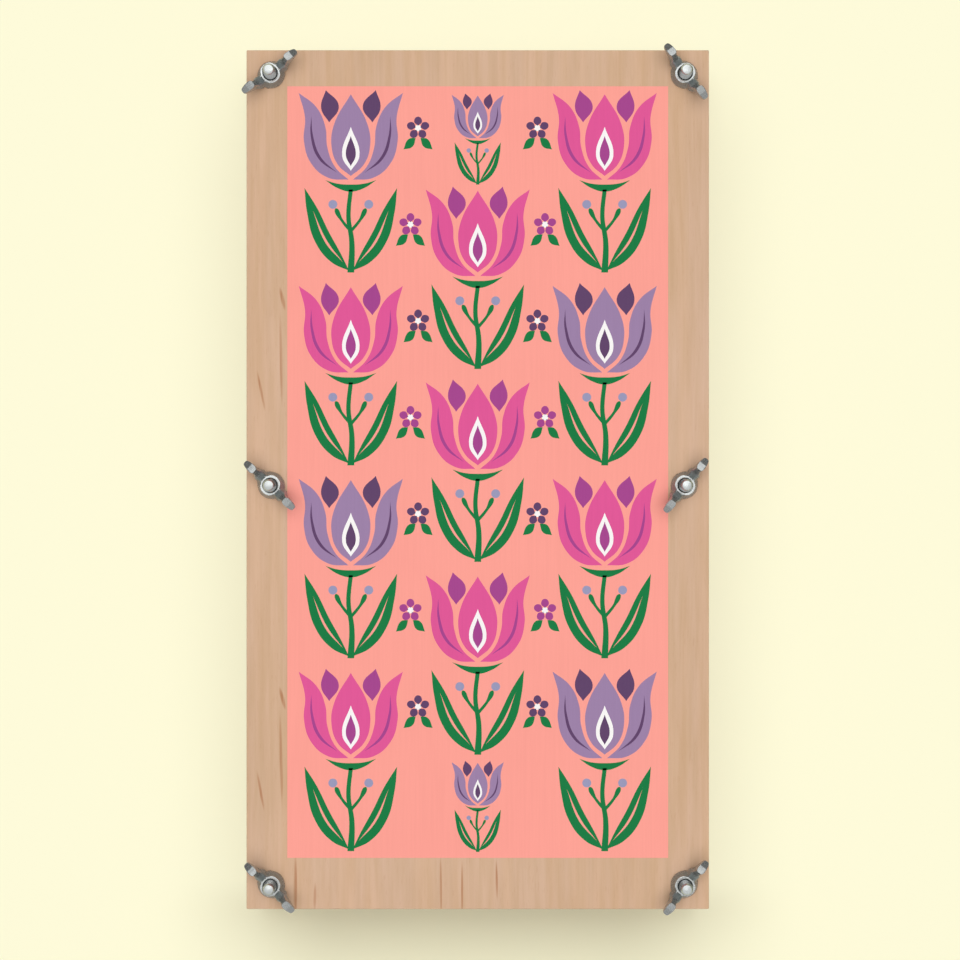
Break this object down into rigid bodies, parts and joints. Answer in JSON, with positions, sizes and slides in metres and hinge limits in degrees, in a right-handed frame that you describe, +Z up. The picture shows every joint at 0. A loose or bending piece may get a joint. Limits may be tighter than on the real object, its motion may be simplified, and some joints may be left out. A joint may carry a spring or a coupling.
{
  "type": "flower press",
  "caption": "Flower press: a printed wooden lid and a base board drawn together by carriage bolts and wing nuts, squeezing a stack of corrugated cardboard and blotting paper.",
  "frame": {"origin": "under the middle of the boards, on the plane of the bolt heads' crowns that the press stands on", "axes": "+Z up through the lid, +Y along the boards towards the top of the print, +X to the right of the print"},
  "size_m": [0.1792, 0.3328, 0.0681],
  "materials": {
    "board_wood": "satin",
    "print_ink": "matte",
    "zinc_steel": "satin",
    "kraft_card": "matte",
    "blotting_paper": "matte"
  },
  "bodies": {
    "base": {"bottom_board": "board_wood", "carriage_bolt_top_left": "zinc_steel", "carriage_bolt_top_right": "zinc_steel", "carriage_bolt_middle_left": "zinc_steel", "carriage_bolt_middle_right": "zinc_steel", "carriage_bolt_bottom_left": "zinc_steel", "carriage_bolt_bottom_right": "zinc_steel"},
    "lid": {"top_board": "board_wood", "printed_panel": "print_ink"},
    "wing_nut_top_left": {"wing_nut_top_left": "zinc_steel"},
    "wing_nut_top_right": {"wing_nut_top_right": "zinc_steel"},
    "wing_nut_middle_left": {"wing_nut_middle_left": "zinc_steel"},
    "wing_nut_middle_right": {"wing_nut_middle_right": "zinc_steel"},
    "wing_nut_bottom_left": {"wing_nut_bottom_left": "zinc_steel"},
    "wing_nut_bottom_right": {"wing_nut_bottom_right": "zinc_steel"},
    "cardboard_1": {"cardboard_1": "kraft_card"},
    "blotter_1_lower": {"blotter_1_lower": "blotting_paper"},
    "blotter_1_upper": {"blotter_1_upper": "blotting_paper"},
    "cardboard_2": {"cardboard_2": "kraft_card"},
    "blotter_2_lower": {"blotter_2_lower": "blotting_paper"},
    "blotter_2_upper": {"blotter_2_upper": "blotting_paper"},
    "cardboard_3": {"cardboard_3": "kraft_card"},
    "blotter_3_lower": {"blotter_3_lower": "blotting_paper"},
    "blotter_3_upper": {"blotter_3_upper": "blotting_paper"},
    "cardboard_4": {"cardboard_4": "kraft_card"},
    "blotter_4_lower": {"blotter_4_lower": "blotting_paper"},
    "blotter_4_upper": {"blotter_4_upper": "blotting_paper"},
    "cardboard_5": {"cardboard_5": "kraft_card"},
    "blotter_5_lower": {"blotter_5_lower": "blotting_paper"},
    "blotter_5_upper": {"blotter_5_upper": "blotting_paper"},
    "cardboard_6": {"cardboard_6": "kraft_card"}
  },
  "joints": [
    {"name": "lid_lift", "type": "slide", "parent": "base", "child": "lid", "axis": [0, 0, 1], "range_m": [0, 0.01]},
    {"name": "wing_nut_top_left_turn", "type": "hinge", "parent": "lid", "child": "wing_nut_top_left", "pos_m": [-0.07938, 0.15557, 0.0515], "axis": [0, 0, 1], "range_deg": [0, 4500]},
    {"name": "wing_nut_top_right_turn", "type": "hinge", "parent": "lid", "child": "wing_nut_top_right", "pos_m": [0.07938, 0.15557, 0.0515], "axis": [0, 0, 1], "range_deg": [0, 4500]},
    {"name": "wing_nut_middle_left_turn", "type": "hinge", "parent": "lid", "child": "wing_nut_middle_left", "pos_m": [-0.07938, -0.0022, 0.0515], "axis": [0, 0, 1], "range_deg": [0, 4500]},
    {"name": "wing_nut_middle_right_turn", "type": "hinge", "parent": "lid", "child": "wing_nut_middle_right", "pos_m": [0.07938, -0.0022, 0.0515], "axis": [0, 0, 1], "range_deg": [0, 4500]},
    {"name": "wing_nut_bottom_left_turn", "type": "hinge", "parent": "lid", "child": "wing_nut_bottom_left", "pos_m": [-0.07938, -0.15557, 0.0515], "axis": [0, 0, 1], "range_deg": [0, 4500]},
    {"name": "wing_nut_bottom_right_turn", "type": "hinge", "parent": "lid", "child": "wing_nut_bottom_right", "pos_m": [0.07938, -0.15557, 0.0515], "axis": [0, 0, 1], "range_deg": [0, 4500]},
    {"name": "cardboard_1_draw", "type": "slide", "parent": "base", "child": "cardboard_1", "axis": [0, 1, 0], "range_m": [0, 0.3]},
    {"name": "blotter_1_lower_draw", "type": "slide", "parent": "base", "child": "blotter_1_lower", "axis": [0, 1, 0], "range_m": [0, 0.3]},
    {"name": "blotter_1_upper_draw", "type": "slide", "parent": "base", "child": "blotter_1_upper", "axis": [0, 1, 0], "range_m": [0, 0.3]},
    {"name": "cardboard_2_draw", "type": "slide", "parent": "base", "child": "cardboard_2", "axis": [0, 1, 0], "range_m": [0, 0.3]},
    {"name": "blotter_2_lower_draw", "type": "slide", "parent": "base", "child": "blotter_2_lower", "axis": [0, 1, 0], "range_m": [0, 0.3]},
    {"name": "blotter_2_upper_draw", "type": "slide", "parent": "base", "child": "blotter_2_upper", "axis": [0, 1, 0], "range_m": [0, 0.3]},
    {"name": "cardboard_3_draw", "type": "slide", "parent": "base", "child": "cardboard_3", "axis": [0, 1, 0], "range_m": [0, 0.3]},
    {"name": "blotter_3_lower_draw", "type": "slide", "parent": "base", "child": "blotter_3_lower", "axis": [0, 1, 0], "range_m": [0, 0.3]},
    {"name": "blotter_3_upper_draw", "type": "slide", "parent": "base", "child": "blotter_3_upper", "axis": [0, 1, 0], "range_m": [0, 0.3]},
    {"name": "cardboard_4_draw", "type": "slide", "parent": "base", "child": "cardboard_4", "axis": [0, 1, 0], "range_m": [0, 0.3]},
    {"name": "blotter_4_lower_draw", "type": "slide", "parent": "base", "child": "blotter_4_lower", "axis": [0, 1, 0], "range_m": [0, 0.3]},
    {"name": "blotter_4_upper_draw", "type": "slide", "parent": "base", "child": "blotter_4_upper", "axis": [0, 1, 0], "range_m": [0, 0.3]},
    {"name": "cardboard_5_draw", "type": "slide", "parent": "base", "child": "cardboard_5", "axis": [0, 1, 0], "range_m": [0, 0.3]},
    {"name": "blotter_5_lower_draw", "type": "slide", "parent": "base", "child": "blotter_5_lower", "axis": [0, 1, 0], "range_m": [0, 0.3]},
    {"name": "blotter_5_upper_draw", "type": "slide", "parent": "base", "child": "blotter_5_upper", "axis": [0, 1, 0], "range_m": [0, 0.3]},
    {"name": "cardboard_6_draw", "type": "slide", "parent": "base", "child": "cardboard_6", "axis": [0, 1, 0], "range_m": [0, 0.3]}
  ],
  "couplings": [
    {"joint": "wing_nut_top_left_turn", "follows": "lid_lift", "rad_per_m": 7854},
    {"joint": "wing_nut_top_right_turn", "follows": "lid_lift", "rad_per_m": 7854},
    {"joint": "wing_nut_middle_left_turn", "follows": "lid_lift", "rad_per_m": 7854},
    {"joint": "wing_nut_middle_right_turn", "follows": "lid_lift", "rad_per_m": 7854},
    {"joint": "wing_nut_bottom_left_turn", "follows": "lid_lift", "rad_per_m": 7854},
    {"joint": "wing_nut_bottom_right_turn", "follows": "lid_lift", "rad_per_m": 7854}
  ]
}
